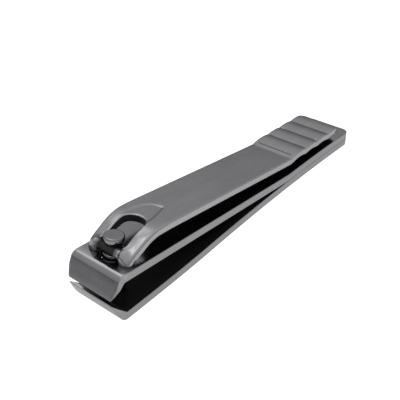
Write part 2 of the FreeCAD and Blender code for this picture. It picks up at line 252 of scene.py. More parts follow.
def sheet_mesh(line, outline, holes, rows, thick, lift_top=level_zero, lift_under=level_zero, creases=(),
               painted_shade_top=no_painted_shade, painted_shade_under=no_painted_shade, painted_sheen_top=level_zero):
    """Solid sheet bent along a side line.

    outline and holes are rings of (s, y, rim radius above, rim radius below); the outline runs with the
    sheet on its left, and so do the holes. rows are the distances s that get a row of inner points
    each, with their spacing. creases are lines of points that the mesh keeps as edges. The lifts raise
    either face, the two shade functions say where shade is painted dark on the top and under faces, and the
    last function says where a highlight is painted bright on the top."""
    verts = []
    edges = []
    tags = []
    solid_rings = []
    for ring in [outline] + holes:
        flat = [p[:2] for p in ring]
        radii = [max(p[2], p[3]) for p in ring]
        rings = rim_rings(flat, radii)
        for step, points in enumerate(rings):
            start = len(verts)
            verts += points
            tags += [(step, p[2], p[3], radius) for p, radius in zip(ring, radii)]
            edges += [(start + k, start + (k + 1) % len(points)) for k in range(len(points))]
        solid_rings.append((flat, rings[-1]))
    outer = solid_rings[0][0]
    inner_rings = [r[1] for r in solid_rings]
    hole_rings = [r[0] for r in solid_rings[1:]]
    for s, spacing in rows:
        width = max(abs(p[1]) for p in outer)
        count = math.ceil(width / spacing)
        before = None
        for k in range(-count, count + 1):
            point = (s, k * spacing)
            keep = (inside(point, inner_rings[0]) and not any(inside(point, r) for r in inner_rings[1:])
                    and min(distance(point, r) for r in inner_rings) > spacing * CLEAR_OF_RIM)
            if keep:
                verts.append(point)
                tags.append((RIM_STEPS, 0, 0, 0))
                if before is not None:
                    edges.append((before, len(verts) - 1))
            before = len(verts) - 1 if keep else None
    for crease in creases:
        start = len(verts)
        verts += crease
        tags += [(RIM_STEPS, 0, 0, 0)] * len(crease)
        edges += [(start + k, start + k + 1) for k in range(len(crease) - 1)]
    made = geometry.delaunay_2d_cdt([Vector(v) for v in verts], edges, [], ALL_TRIANGLES, CDT_MERGE, True)
    flat_points, _, faces, originals = made[:4]
    marks = [tags[o[0]] if o else (RIM_STEPS, 0, 0, 0) for o in originals]

    mesh = bmesh.new()
    rim_layer = mesh.verts.layers.float.new("rim")
    painted_shade_layer = mesh.verts.layers.float.new("painted_shade")
    top = []
    under = []
    for point, (step, above, below, _) in zip(flat_points, marks):
        s, y = point
        base, normal = line.place(s)
        turn = math.radians(90 * step / RIM_STEPS)
        high = thick / 2 - above * (1 - math.sin(turn)) + lift_top(s, y)
        low = thick / 2 - below * (1 - math.sin(turn)) - lift_under(s, y)
        sides = ((top, high, painted_shade_top, painted_sheen_top), (under, -low, painted_shade_under, level_zero))
        for layer, level, painted_shade, wear_and_sheen in sides:
            place = base + normal * level
            vert = mesh.verts.new((place.x, y, place.y))
            # The rim value brightens rims as wear and as a painted highlight, and adds any highlight painted
            # on the face; the painted shade value darkens the colour where shade falls.
            vert[rim_layer] = max(RIM_WEAR_AND_SHEEN * (1 - step / RIM_STEPS), wear_and_sheen(s, y))
            vert[painted_shade_layer] = painted_shade(s, y, step)
            layer.append(vert)
    for face in faces:
        middle = sum((flat_points[k] for k in face), Vector((0, 0))) / len(face)
        if inside(middle, outer) and not any(inside(middle, ring) for ring in hole_rings):
            mesh.faces.new([top[k] for k in face])
            mesh.faces.new([under[k] for k in reversed(face)])
    rim_edges = [e for e in mesh.edges if len(e.link_faces) == 1]
    twin = dict(zip(top, under))
    for edge in rim_edges:
        loop = edge.link_loops[0]
        a = loop.vert
        b = loop.link_loop_next.vert
        if a in twin and b in twin:
            mesh.faces.new((b, a, twin[a], twin[b]))
    bmesh.ops.delete(mesh, geom=[v for v in mesh.verts if not v.link_faces], context="VERTS")
    bmesh.ops.remove_doubles(mesh, verts=mesh.verts, dist=1e-5)
    bmesh.ops.dissolve_degenerate(mesh, edges=mesh.edges, dist=1e-6)
    return mesh


SHARP_ANGLE = 40


def finish_piece(mesh, name, to_world):
    """Turn a bmesh in millimetres into an object in metres, smooth except at its sharp edges."""
    for vert in mesh.verts:
        vert.co = to_world(vert.co) * MM
    bmesh.ops.recalc_face_normals(mesh, faces=mesh.faces)
    data = bpy.data.meshes.new(name)
    mesh.to_mesh(data)
    mesh.free()
    for face in data.polygons:
        face.use_smooth = True
    data.set_sharp_from_angle(angle=math.radians(SHARP_ANGLE))
    piece = bpy.data.objects.new(name, data)
    bpy.context.scene.collection.objects.link(piece)
    even_shading(piece)
    return piece


def merge(piece, other, operation):
    """Join another piece to this one, or cut it away, and keep the result as the piece's own mesh."""
    piece.modifiers.clear()
    change = piece.modifiers.new("merge", "BOOLEAN")
    change.operation = operation
    change.solver = "EXACT"
    change.object = other
    other.modifiers.clear()
    graph = bpy.context.evaluated_depsgraph_get()
    made = bpy.data.meshes.new_from_object(piece.evaluated_get(graph))
    piece.modifiers.clear()
    piece.data = made
    made.set_sharp_from_angle(angle=math.radians(SHARP_ANGLE))
    even_shading(piece)
    bpy.data.objects.remove(other)


def even_shading(piece):
    """Shade large flat faces as flat, so that narrow rims don't tilt them."""
    weighted = piece.modifiers.new("even_shading", "WEIGHTED_NORMAL")
    weighted.keep_sharp = True


def from_post(point):
    """Place of a point given behind, across and along the post's axis."""
    return POST_PLACE + BACK * point.x + POST_AXIS * point.z + Vector((0, point.y, 0))


def stay(point):
    """Place of a point that is given in the frame already."""
    return point.copy()


# ---------------------------------------------------------------- lever

# Underside seen from the side, in the frame of the post
NOSE_SLOPE = 0.612
NOSE_LEVEL = 0.80
BODY_SLOPE = 0.04
BODY_LEVEL = 3.93
KNEE_ROUND = 8.0
BEND_ROUND = 2.0
TOE_REACH = 3.0             # from the post's axis down the nose to the tip of a toe
TOE_HALF = 5.65             # half width of the lever at its toes
NOSE_CROWN = 0.35           # how much lower the sides of the nose are than its middle
TOE_CURL = 0.6
# Rolled rims: toes, nose, sides, underside and slot
TOE_RIM = 1.2
TOE_SOLE_RIM = 0.35
NOSE_RIM = 0.6
SIDE_RIM = 0.3
UNDER_RIM = 0.25
SLOT_RIM = 0.38
SOLE_GAP = 0.05             # least height of the lever above the upper strip
SLOT_HALF = 2.75
SLOT_FLANGE = 0.4           # how far the edge of the slot is turned down
SLOT_CENTRE_U = 4.7
# Thumb grip
BEND_START = 53.2
GRIP_START = 54.6
GRIP_LEVEL = 3.78
GRIP_SLOPE = 0.045
GRIP_PITCH = 5.2
GRIP_STEPS = 4
GRIP_CROWN = 0.3
CROWN_STEPS = 8
GROOVE_DEPTH = 0.22
GROOVE_HALF = 0.2
LEVER_TAIL_ROUND = 1.8
# Cross bar, with a thicker shoulder at each toe that starts SHOULDER_INNER from the middle
BAR_RADIUS = 0.82
SHOULDER_RADIUS = 0.95
SHOULDER_INNER = 1.72
SHOULDER_EDGE = 0.3
BAR_BURIED = 0.6            # how far the bar reaches into each toe
# How far a toe's faces follow the bar, as shares of its offset from the nose's middle surface
SWELL_TOP = 1.15
SWELL_UNDER = 0.3
# Leaf-shaped recess stamped behind the slot, with its tip off the middle
LEAF_FRONT_U = 5.0
LEAF_TIP_U = 13.4
LEAF_TIP_Y = -0.8
LEAF_LEFT = 3.7
LEAF_RIGHT = -2.95
LEAF_DEPTH = 0.2
LEAF_WALL = 0.5
LEAF_STEPS = 22


def nose_middle(u):
    """Height of the lever's middle surface on its nose, u behind the post's axis."""
    return NOSE_LEVEL + NOSE_SLOPE * u + LEVER / 2 * math.hypot(1, NOSE_SLOPE)


def body_middle(u):
    """Height of the lever's middle surface behind its knee."""
    return BODY_LEVEL - BODY_SLOPE * u + LEVER / 2


def lever_line():
    """Middle line of the lever, from the tips of its toes over the knee to the end of the grip."""
    knee_u = (body_middle(0) - nose_middle(0)) / (NOSE_SLOPE + BODY_SLOPE)
    toe_u = -TOE_REACH / math.hypot(1, NOSE_SLOPE)
    points = bent_line([
        (toe_u, nose_middle(toe_u), 0),
        (knee_u, nose_middle(knee_u), KNEE_ROUND),
        (BEND_START, body_middle(BEND_START), BEND_ROUND),
        (GRIP_START, GRIP_LEVEL - LEVER / 2, 0),
    ], step=1.0)
    for step in range(GRIP_STEPS):
        start = GRIP_START + step * GRIP_PITCH
        for k in range(1, CROWN_STEPS + 1):
            share = k / CROWN_STEPS
            u = start + GRIP_PITCH * share
            crown = GRIP_CROWN * (1 - (2 * share - 1) ** 2)
            points.append(Vector((u, GRIP_LEVEL - LEVER / 2 + GRIP_SLOPE * (u - GRIP_START) + crown)))
    return SideLine(points)


def lever_outline(line, base_s):
    """The lever laid flat: two toes, a slot between them that is round behind, and a round-cornered tail."""
    def half_width(s):
        return TOE_HALF + (LEVER_HALF - TOE_HALF) * smooth(-1, 8, s - base_s)

    def outer_rim(s):
        return SIDE_RIM + (NOSE_RIM - SIDE_RIM) * (1 - smooth(4, 10, s - base_s))

    tail = line.length
    lobe = (half_width(0) - SLOT_HALF) / 2
    lobe_y = SLOT_HALF + lobe
    slot_end = line.at_first(SLOT_CENTRE_U)
    right = [(p[0], p[1], TOE_RIM, TOE_SOLE_RIM) for p in arc(lobe, -lobe_y, lobe, 90, 270, 18)]
    right += [(s, -half_width(s), outer_rim(s), UNDER_RIM)
              for s in line.at if lobe + 0.2 < s < tail - LEVER_TAIL_ROUND - 0.1]
    corner = arc(tail - LEVER_TAIL_ROUND, LEVER_TAIL_ROUND - LEVER_HALF, LEVER_TAIL_ROUND, -90, 0, 8)
    right += [(p[0], p[1], SIDE_RIM, UNDER_RIM) for p in corner]
    end_y = LEVER_HALF - LEVER_TAIL_ROUND
    right += [(tail, -end_y * (1 - k / 8), SIDE_RIM, UNDER_RIM) for k in range(1, 8)]
    slot = [(line.at_first(p[0]), p[1], SLOT_RIM, UNDER_RIM)
            for p in arc(SLOT_CENTRE_U, 0, SLOT_HALF, 90, 0, 12)]
    left_side = [(s, SLOT_HALF, SLOT_RIM, UNDER_RIM) for s in line.at if lobe + 0.2 < s < slot_end - 0.2]
    slot = left_side + slot
    mirrored = [(s, -y, above, below) for s, y, above, below in reversed(right)]
    back = [(s, -y, above, below) for s, y, above, below in reversed(slot[:-1])]
    return right + [(tail, 0, SIDE_RIM, UNDER_RIM)] + mirrored + slot + back


def leaf_ring(line):
    """Outline of the stamped recess laid flat, with the recess on its left."""
    shares = [math.sin(math.radians(90 * k / LEAF_STEPS)) for k in range(LEAF_STEPS + 1)]
    right = []
    left = []
    for share in shares:
        s = line.at_first(LEAF_FRONT_U + (LEAF_TIP_U - LEAF_FRONT_U) * share)
        right.append((s, LEAF_RIGHT + (LEAF_TIP_Y - LEAF_RIGHT) * share ** 1.5))
        left.append((s, LEAF_TIP_Y + (LEAF_LEFT - LEAF_TIP_Y) * math.sqrt(1 - share ** 4)))
    return right + list(reversed(left[:-1]))


def grip_grooves(line):
    """Where the grooves of the grip lie: in front of it and between its steps."""
    return [line.at_first(GRIP_START + GRIP_PITCH * k) for k in range(GRIP_STEPS)]


def make_lever():
    """Stamped lever: toes, cross bar, slot with a rolled rim, knee, leaf-shaped recess and grip."""
    line = lever_line()
    base_s = line.at_first(0)
    slant = math.hypot(1, NOSE_SLOPE)
    bar_s = base_s + (BAR_U + (BAR_W - nose_middle(0)) * NOSE_SLOPE) / slant
    bar_rise = (BAR_W - nose_middle(0) - BAR_U * NOSE_SLOPE) / slant
    leaf = leaf_ring(line)
    leaf_floor = rim_rings(leaf, [LEAF_WALL] * len(leaf))[-1]
    grooves = grip_grooves(line)
    slot_middle = line.at_first(SLOT_CENTRE_U)
    slot_end = line.at_first(SLOT_CENTRE_U + SLOT_HALF) + SAME
    leaf_start = line.at_first(LEAF_FRONT_U)
    leaf_end = line.at_first(LEAF_TIP_U)

    def bar_share(s, y):
        """1 where the cross bar grows out of a toe, 0 away from it."""
        return (1 - smooth(SLOT_HALF + 0.2, SLOT_HALF + 2.4, abs(y))) * (1 - smooth(0.3, 2.2, abs(s - bar_s)))

    def crown(s, y):
        """The nose is arched across: its sides lie lower than its middle."""
        share = 1 - smooth(3, 11, s - base_s)
        return -NOSE_CROWN * share * (abs(y) / LEVER_HALF) ** 3

    def curl(s, y):
        """The toes curl down towards their tips."""
        return -TOE_CURL * (max(base_s + 0.8 - s, 0) / (base_s + 0.8)) ** 2

    def recess(s, y):
        """The leaf-shaped recess sinks to its full depth a little behind its front."""
        if not leaf_start < s < leaf_end or not inside((s, y), leaf):
            return 0
        fade = smooth(0, 2.5, s - leaf_start)
        return -LEAF_DEPTH * fade * smooth(0, LEAF_WALL, distance((s, y), leaf))

    def groove(s, y):
        """1 along the middle of a groove of the grip, which stops short of the rolled borders."""
        near = min(abs(s - g) for g in grooves)
        return max(1 - near / GROOVE_HALF, 0) * (1 - smooth(LEVER_HALF - 1.1, LEVER_HALF - 0.6, abs(y)))

    def lift_top(s, y):
        stamped = recess(s, y) - GROOVE_DEPTH * groove(s, y)
        return SWELL_TOP * bar_rise * bar_share(s, y) + crown(s, y) + curl(s, y) + stamped

    def flange(s, y):
        """The edge of the slot is turned down a little, except between the toes."""
        gap = math.hypot(max(s - slot_middle, 0), y) - SLOT_HALF
        return SLOT_FLANGE * (1 - smooth(0.1, 0.9, gap)) * smooth(2.5, 4.5, s - base_s)

    def lift_under(s, y):
        return SWELL_UNDER * bar_rise * bar_share(s, y) + crown(s, y) - flange(s, y)

    def slot_wall(s, y, step):
        """Whether a point lies on the wall of the slot."""
        return step <= 1 and s < slot_end and abs(y) < SLOT_HALF + SLOT_RIM * 0.3

    # Shade painted dark: on top in the grip's grooves and on the slot's wall, below over the whole underside
    # and round the slot.
    def painted_shade_top(s, y, step):
        return groove(s, y) if step == RIM_STEPS else slot_wall(s, y, step)

    def painted_shade_under(s, y, step):
        return step == RIM_STEPS or (s < slot_end and abs(y) < SLOT_HALF + SLOT_RIM)

    rows = [(s, 0.55 if s < leaf_end else 0.9) for s in line.at[1:-1]]
    rows += [(g + side, 0.5) for g in grooves for side in (-GROOVE_HALF, 0, GROOVE_HALF)]
    count = int((leaf_end - leaf_start) / 0.3)
    rows += [(leaf_start + 0.3 * k, 0.3) for k in range(count)]
    rows.sort()
    spread = [rows[0]]
    for row in rows[1:]:
        if row[0] - spread[-1][0] > 0.08:
            spread.append(row)
    mesh = sheet_mesh(line, lever_outline(line, base_s), [], spread, LEVER, lift_top, lift_under,
                      [leaf, leaf_floor], painted_shade_top, painted_shade_under)
    for vert in mesh.verts:
        vert.co.z = max(vert.co.z, SOLE_GAP)
    lever = finish_piece(mesh, "lever_plate", from_post)
    merge(lever, make_cross_bar(), "UNION")
    # The merge keeps no painted shade for the bar, so shade is painted dark here on every point near the
    # bar's axis.
    painted_shade = lever.data.attributes["painted_shade"].data
    for vert in lever.data.vertices:
        u, w = post_frame(in_mm(vert.co))
        from_bar = math.hypot(u - BAR_U, w - BAR_W)
        if abs(vert.co.y / MM) < SLOT_HALF + BAR_BURIED and from_bar < SHOULDER_RADIUS + SAME:
            painted_shade[vert.index].value = 1
    return lever


def make_cross_bar():
    """Bar between the toes: thick shoulders at the toes, and a thinner middle that turns in the post."""
    reach = SLOT_HALF + BAR_BURIED
    shoulder = arc(SHOULDER_INNER + SHOULDER_EDGE, SHOULDER_RADIUS - SHOULDER_EDGE, SHOULDER_EDGE, 90, 180, 6)
    right = [(reach, SHOULDER_RADIUS)] + shoulder + [(SHOULDER_INNER, BAR_RADIUS)]
    profile = [(-y, radius) for y, radius in right] + list(reversed(right))
    mesh = bmesh.new()
    rings = []
    for y, radius in profile:
        rings.append([mesh.verts.new((p[0], y, p[1])) for p in arc(BAR_U, BAR_W, radius, 0, 350, 35)])
    for a, b in zip(rings, rings[1:]):
        for k in range(len(a)):
            mesh.faces.new((a[k], a[k - 1], b[k - 1], b[k]))
    mesh.faces.new(rings[0])
    mesh.faces.new(list(reversed(rings[-1])))
    return finish_piece(mesh, "bar", from_post)


# ---------------------------------------------------------------- strips

HOLE_PLAY = 0.35             # round the post, in the upper strip
POST_RADIUS = 2.3
STRIP_RISE = math.degrees(math.asin(POST_AXIS.x))
# The lower strip lies flat up to FLAT_END, then lifts off the table in an arc
FLAT_END = 14.0
LIFT_RADIUS = 300.0
LIFT_ANGLE = math.radians(2.8)
EDGE_HALF = 5.7
EDGE_HEIGHT = 5.16
EDGE_GAP = 1.24
LIP_CORNER = 2.4             # how far up the lip the ends of the cutting edge are rounded
LIP_ROLL = 0.2
LOWER_OUTER_X = 2.15         # where the outer face of a lip would meet the flat face of its strip
UPPER_OUTER_X = 2.3
GRIND = 0.45                 # width and depth of the sharpening bevel
GRIND_DEPTH = 0.08
# Painted highlight along the upper bend: how bright it is, then its half width
BEND_SHEEN = 1.0
BEND_SHEEN_HALF = 0.35             # half width of the painted highlight along the upper bend
LIP_PAINTED_SHADE = 0.36             # how much shade is painted on the outer face of the upper lip along its cutting edge
TAIL_SPARE = 0.05            # how far the strips stop short of the tail of the frame
BEND_MIDDLE = 0.9            # radius of the middle line at the foot of a lip
STRIP_RIM = 0.14
BORE_PLAY = 0.06
SEAT_PLAY = 0.08
SEAT_WALL = 0.04
TAIL_ROUND = 2.0
EDGE_LAND = 0.1


class Arch:
    """Underside of the lower strip: flat, an upward arc, then the long shallow arch to the tail."""

    def __init__(self):
        length = TAIL_X - FRONT_X
        run = length - FLAT_END - LIFT_RADIUS * math.sin(LIFT_ANGLE)
        drop = LIFT_RADIUS * (1 - math.cos(LIFT_ANGLE))
        self.radius = ((run ** 2 + drop ** 2)
                       / (2 * (run * math.sin(LIFT_ANGLE) + drop * math.cos(LIFT_ANGLE))))
        self.x = FLAT_END + (LIFT_RADIUS + self.radius) * math.sin(LIFT_ANGLE)
        self.z = LIFT_RADIUS - (LIFT_RADIUS + self.radius) * math.cos(LIFT_ANGLE)

    def height(self, x, layers):
        """Height of the face a number of strip thicknesses above the underside; x from the edges."""
        thick = layers * STRIP
        bend = LIFT_RADIUS - thick
        if x <= FLAT_END:
            return thick
        if x <= FLAT_END + bend * math.sin(LIFT_ANGLE):
            return LIFT_RADIUS - math.sqrt(bend ** 2 - (x - FLAT_END) ** 2)
        return self.z + math.sqrt((self.radius + thick) ** 2 - (x - self.x) ** 2)


ARCH = Arch()


def strip_ring(line, lip, outer_above):
    """Outline of a strip laid flat, with rounded ends of its cutting edge and round tail corners.

    The lip's outer face rolls into its sides; outer_above says whether that face is the upper one."""
    tail = line.length
    stations = [s for s in line.at if LIP_CORNER + 0.15 < s < tail - TAIL_ROUND - 0.2]

    def rims(s):
        thin = STRIP_RIM * smooth(-0.6, 2, s)
        outer = thin + (LIP_ROLL - thin) * smooth(0, 2.2, s) * (1 - smooth(lip + 0.3, lip + 3.0, s))
        return (outer, thin) if outer_above else (thin, outer)

    inset = JAW_HALF - EDGE_HALF
    shares = [k / 8 for k in range(9)]
    right = [(LIP_CORNER * share ** 1.3, -EDGE_HALF - inset * share) for share in shares]
    right += [(s, -JAW_HALF) for s in stations]
    right += arc(tail - TAIL_ROUND, -JAW_HALF + TAIL_ROUND, TAIL_ROUND, -90, 0, 8)
    end_y = JAW_HALF - TAIL_ROUND
    ring = list(right)
    ring += [(tail, -end_y + 2 * end_y * k / 12) for k in range(1, 12)]
    ring += [(s, -y) for s, y in reversed(right)]
    ring += [(0, EDGE_HALF - 2 * EDGE_HALF * k / 16) for k in range(1, 16)]
    return [(s, y, *rims(s)) for s, y in ring]


def post_hole(line, radius):
    """Round hole about the post's axis, laid flat on the sheet."""
    centre = min(((abs(axis_offset(line, s)), s) for s in line.at))[1]
    for _ in range(20):
        step = 0.01
        slope = (axis_offset(line, centre + step) - axis_offset(line, centre)) / step
        centre -= axis_offset(line, centre) / slope
    return [(s, y, STRIP_RIM, STRIP_RIM) for s, y in arc(centre, 0, radius, 360, 0, 40)[:-1]], centre


def axis_offset(line, s):
    """Signed distance from the middle line's point to the post's axis, along the strip."""
    point = line.place(s)[0]
    return (Vector((point.x, 0, point.y)) - POST_PLACE).dot(BACK)


def strip_rows(line, dense):
    """Rows of inner points, closer together up to the distance dense."""
    return [(GRIND, 0.8)] + [(s, 0.8 if s < dense else 1.6) for s in line.at[1:-1] if s > GRIND + 0.1]


def lip_cut(lip, s):
    """How far the inner face of a lip has come in from the full thickness, on its way to the edge."""
    return (STRIP - EDGE_LAND) * (1 - min(s / (lip - 0.6), 1))


def grind(s):
    """Small sharpening bevel on the outer face along a cutting edge."""
    return GRIND_DEPTH * max(1 - s / GRIND, 0)


def lip_corner(edge, outer, level, slope):
    """Middle line of a lip, half a thickness inside its outer face, met with the middle of the strip.

    edge and outer are two points of the outer face; the strip's middle has this level at 0 and slope."""
    along = (Vector(outer) - Vector(edge)).normalized()
    inward = Vector((along.y, -along.x)) if along.y > 0 else Vector((-along.y, along.x))
    start = Vector(edge) + inward * STRIP / 2
    run = (level + slope * start.x - start.y) / (along.y - slope * along.x)
    return start, start + along * run


def make_upper_strip():
    """Upper strip: a lip turned down, a straight run up from the weld, and the tail on the lower strip."""
    rise = math.tan(math.radians(STRIP_RISE))
    hinge = HINGE.x - FRONT_X
    hinge_z = ARCH.height(hinge, 1)
    thick = STRIP / math.cos(math.radians(STRIP_RISE))
    level = hinge_z + hinge * rise + thick / 2
    edge = (0, EDGE_HEIGHT + EDGE_GAP)
    outer = (UPPER_OUTER_X, level - UPPER_OUTER_X * rise + thick / 2)
    start, corner = lip_corner(edge, outer, level, -rise)
    lip = (corner - start).length
    corners = [(*start, 0), (*corner, BEND_MIDDLE), (hinge, hinge_z + thick / 2, 0)]
    points = bent_line(corners, step=1.5, angle=7)
    tail = TAIL_X - FRONT_X - TAIL_SPARE
    count = 16
    for k in range(1, count + 1):
        x = hinge + (tail - hinge) * k / count
        points.append(Vector((x, ARCH.height(x, 1.5))))
    line = SideLine([Vector((p.x + FRONT_X, p.y)) for p in points])
    hole, _ = post_hole(line, POST_RADIUS + HOLE_PLAY)

    def lift_top(s, y):
        return -grind(s)

    def lift_under(s, y):
        return lip_cut(lip, s)

    # Painted shade: the lip's outer face darkens towards its cutting edge, and the underside behind the lip
    # is dark between the strips.
    def painted_shade_top(s, y, step):
        return LIP_PAINTED_SHADE * max(1 - s / lip, 0)

    def painted_shade_under(s, y, step):
        return smooth(lip * 0.3, lip * 0.7, s) * (step == RIM_STEPS)

    def painted_sheen_top(s, y):
        """A highlight is painted bright along the line where the bend leaves the flat of the strip."""
        return BEND_SHEEN * max(1 - abs(s - lip - BEND_MIDDLE / 2) / BEND_SHEEN_HALF, 0)

    mesh = sheet_mesh(line, strip_ring(line, lip, True), [hole], strip_rows(line, 16), STRIP,
                      lift_top, lift_under, painted_shade_top=painted_shade_top, painted_shade_under=painted_shade_under, painted_sheen_top=painted_sheen_top)
    return finish_piece(mesh, "upper_strip", stay)


def make_lower_strip():
    """Lower strip: a lip turned up, a flat front with the seat of the post's foot, and a long arch."""
    start, corner = lip_corner((0, EDGE_HEIGHT), (LOWER_OUTER_X, 0), STRIP / 2, 0)
    lip = (corner - start).length
    points = bent_line([(*start, 0), (*corner, BEND_MIDDLE), (FLAT_END, STRIP / 2, 0)], step=1.5, angle=7)
    tail = TAIL_X - FRONT_X - TAIL_SPARE
    count = 44
    for k in range(1, count + 1):
        x = FLAT_END + (tail - FLAT_END) * k / count
        points.append(Vector((x, ARCH.height(x, 0.5))))
    line = SideLine([Vector((p.x + FRONT_X, p.y)) for p in points])
    hole, centre = post_hole(line, POST_RADIUS + BORE_PLAY)
    wall = FOOT_RADIUS + SEAT_PLAY
    creases = [arc(centre, 0, radius, 0, 360, 48) for radius in (wall, wall - SEAT_WALL)]
    seat_level = FOOT_BOTTOM + FOOT_THICK + SEAT_PLAY

    def lift_top(s, y):
        return -lip_cut(lip, s)

    def lift_under(s, y):
        """The sharpening bevel, and the round seat, square to the post, that takes the post's foot."""
        away = math.hypot(s - centre, y)
        if away > wall:
            return grind(s)
        along = line.place(s)[0].x - POST_PLACE.x
        depth = POST_PLACE.z + (seat_level - along * POST_AXIS.x) / POST_AXIS.z
        return depth * (1 - smooth(wall - SEAT_WALL, wall, away))

    # Painted shade: the top face behind the lip is dark between the strips.
    def painted_shade_top(s, y, step):
        return smooth(lip * 0.3, lip * 0.7, s) * (step == RIM_STEPS)

    mesh = sheet_mesh(line, strip_ring(line, lip, False), [hole], strip_rows(line, 16), STRIP,
                      lift_top, lift_under, creases, painted_shade_top)
    return finish_piece(mesh, "lower_strip", stay)


# ---------------------------------------------------------------- post

# Heights along the post's axis, from the top of the upper strip
POST_SHOULDER = 0.7
NECK_RADIUS = 1.65
NECK_LOW = 0.95
NECK_TOP = 3.15
HEAD_RADIUS = 2.1
HEAD_TOP = 4.34
FOOT_RADIUS = 2.9
FOOT_THICK = 0.6
FOOT_BOTTOM = -10.12
NOTCH_PLAY = 0.08
NOTCH_SPREAD = 0.05          # how much the notch opens towards the front, each way
TOOL_FRONT = -6              # how far the notch's cutting tool reaches in front of the post
TOOL_HALF = 4


def make_post():
    """Turned post with a rounded head, then the notch cut from the front."""
    corners = [
        (0, FOOT_BOTTOM, 0), (FOOT_RADIUS, FOOT_BOTTOM, 0.2), (FOOT_RADIUS, FOOT_BOTTOM + FOOT_THICK, 0.12),
        (POST_RADIUS, FOOT_BOTTOM + FOOT_THICK, 0), (POST_RADIUS, POST_SHOULDER, 0.2),
        (NECK_RADIUS, NECK_LOW, 0.12), (NECK_RADIUS, NECK_TOP, 0.12), (HEAD_RADIUS, NECK_TOP, 0.22),
        (HEAD_RADIUS, HEAD_TOP, 0.38), (0, HEAD_TOP, 0),
    ]
    profile = bent_line(corners, step=0.6, angle=12)
    mesh = bmesh.new()
    painted_shade_layer = mesh.verts.layers.float.new("painted_shade")
    line = []
    for point in profile:
        vert = mesh.verts.new((point.x, 0, point.y))
        # Shade is painted dark on the neck, under the head.
        vert[painted_shade_layer] = POST_SHOULDER < point.y < NECK_TOP + SAME and point.x < HEAD_RADIUS - 0.3
        line.append(vert)
    edges = [mesh.edges.new(pair) for pair in zip(line, line[1:])]
    bmesh.ops.spin(mesh, geom=line + edges, cent=(0, 0, 0), axis=(0, 0, 1), angle=TURN, steps=72,
                   use_duplicate=False)
    bmesh.ops.remove_doubles(mesh, verts=mesh.verts, dist=1e-4)
    post = finish_piece(mesh, "notched_post", from_post)

    radius = BAR_RADIUS + NOTCH_PLAY
    ring = [(TOOL_FRONT, BAR_W - radius - NOTCH_SPREAD)]
    ring += arc(BAR_U, BAR_W, radius, -90, 90, 20)
    ring += [(TOOL_FRONT, BAR_W + radius + NOTCH_SPREAD)]
    tool_mesh = bmesh.new()
    faces = []
    for y in (-TOOL_HALF, TOOL_HALF):
        faces.append(tool_mesh.faces.new([tool_mesh.verts.new((u, y, w)) for u, w in ring]))
    for a, b in zip(range(len(ring)), list(range(1, len(ring))) + [0]):
        tool_mesh.faces.new((faces[0].verts[a], faces[0].verts[b], faces[1].verts[b], faces[1].verts[a]))
    tool = finish_piece(tool_mesh, "notch_tool", from_post)
    merge(post, tool, "DIFFERENCE")
    return post


# ---------------------------------------------------------------- materials

PAINTED_SHADE_SHARE = 0.15            # how much of the finish's colour is left where shade is painted, on inner faces and in grooves
PAINTED_SHADE_ROUGH = 0.6
DARKEST = 0.88               # range of the finish's tone, as shares of its colour
LIGHTEST = 1.1
# Rims brighten towards their edge, as wear and as a painted highlight, and so does the painted highlight
# along the upper bend
WEAR_AND_SHEEN_GAIN = 1.7
WEAR_AND_SHEEN_SHARE = 0.8
# How finely the brushed lines and the blotches repeat, along the brushing and across it
LINES_ALONG = 60
LINES_ACROSS = 3200
BLOTCHES_ALONG = 90
BLOTCHES_ACROSS = 260
RELIEF = 0.00001             # depth of the brushed lines, in metres


